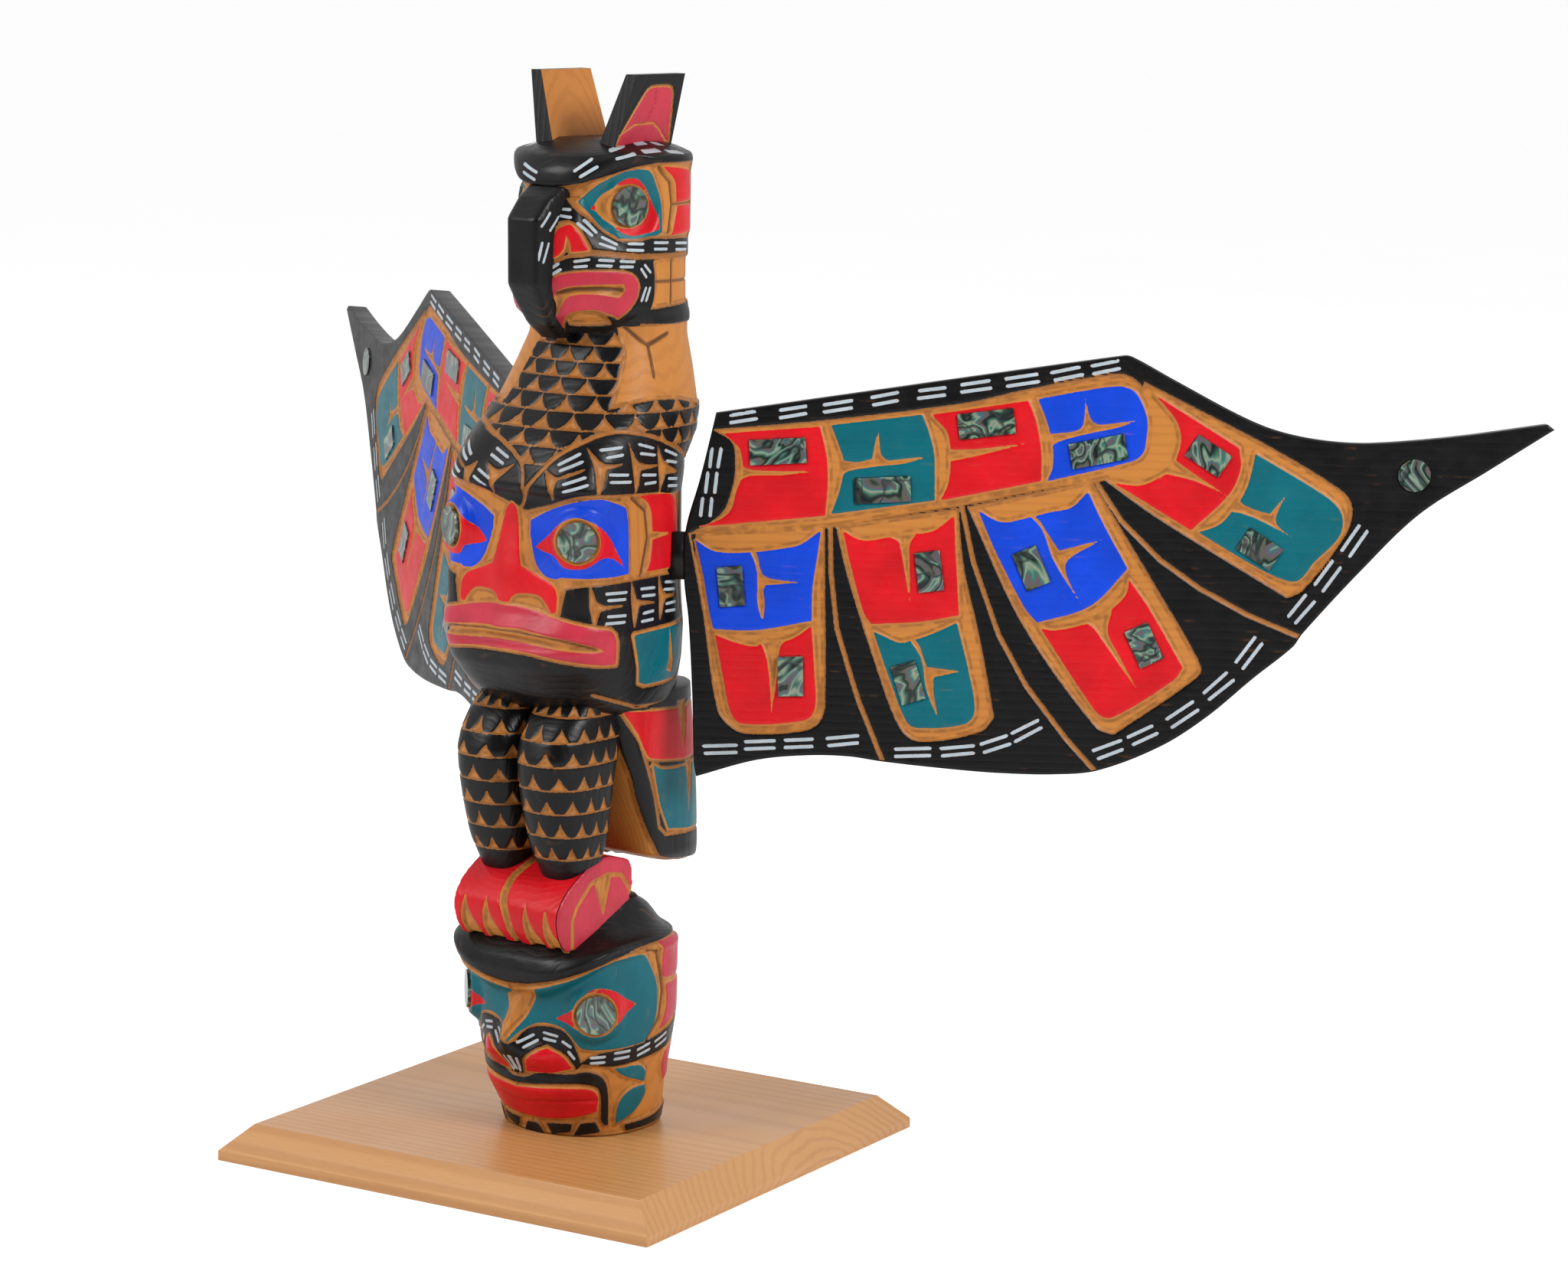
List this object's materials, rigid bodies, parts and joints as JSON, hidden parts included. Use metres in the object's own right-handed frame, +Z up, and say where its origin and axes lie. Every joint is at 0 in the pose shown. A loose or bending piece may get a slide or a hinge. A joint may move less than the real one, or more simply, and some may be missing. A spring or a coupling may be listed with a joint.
{
  "type": "totem pole",
  "caption": "Carved and painted model totem pole with spread wings and shell inlays, standing on a bevelled square board.",
  "frame": {"origin": "centre of the square board's underside", "axes": "+Z up along the pole, -Y towards the side that the figure faces, +X towards the figure's left wing, the viewer's right; the figure is turned 6 degrees about Z on its board"},
  "size_m": [0.8851, 0.4759, 0.6113],
  "materials": {
    "board_wood": "clear-coated softwood board with fine grain",
    "painted_pole": "carved cedar, satin black, red, teal and blue paint with bare carved lines",
    "painted_wing": "carved cedar plank, satin black, red, teal and blue paint with bare carved lines",
    "painted_ear": "carved cedar, satin black and red paint, bare wood on the inner side",
    "shell": "polished sea shell with shifting green, blue and pink bands"
  },
  "bodies": {
    "root": {"band_tile_1_left": "shell", "band_tile_1_right": "shell", "band_tile_2_left": "shell", "band_tile_2_right": "shell", "band_tile_3_left": "shell", "band_tile_3_right": "shell", "band_tile_4_left": "shell", "band_tile_4_right": "shell", "base_board": "board_wood", "ear_left": "painted_ear", "ear_right": "painted_ear", "eye_disc_head_left": "shell", "eye_disc_head_right": "shell", "eye_disc_lower_face_left": "shell", "eye_disc_lower_face_right": "shell", "eye_disc_middle_face_left": "shell", "eye_disc_middle_face_right": "shell", "feather_tile_1_left": "shell", "feather_tile_1_right": "shell", "feather_tile_2_left": "shell", "feather_tile_2_right": "shell", "feather_tile_3_left": "shell", "feather_tile_3_right": "shell", "feather_tile_4_left": "shell", "feather_tile_4_right": "shell", "feather_tile_5_left": "shell", "feather_tile_5_right": "shell", "feather_tile_6_left": "shell", "feather_tile_6_right": "shell", "feather_tile_7_left": "shell", "feather_tile_7_right": "shell", "feather_tile_8_left": "shell", "feather_tile_8_right": "shell", "pole": "painted_pole", "wing_disc_left": "shell", "wing_disc_right": "shell", "wing_left": "painted_wing", "wing_right": "painted_wing"}
  },
  "joints": []
}
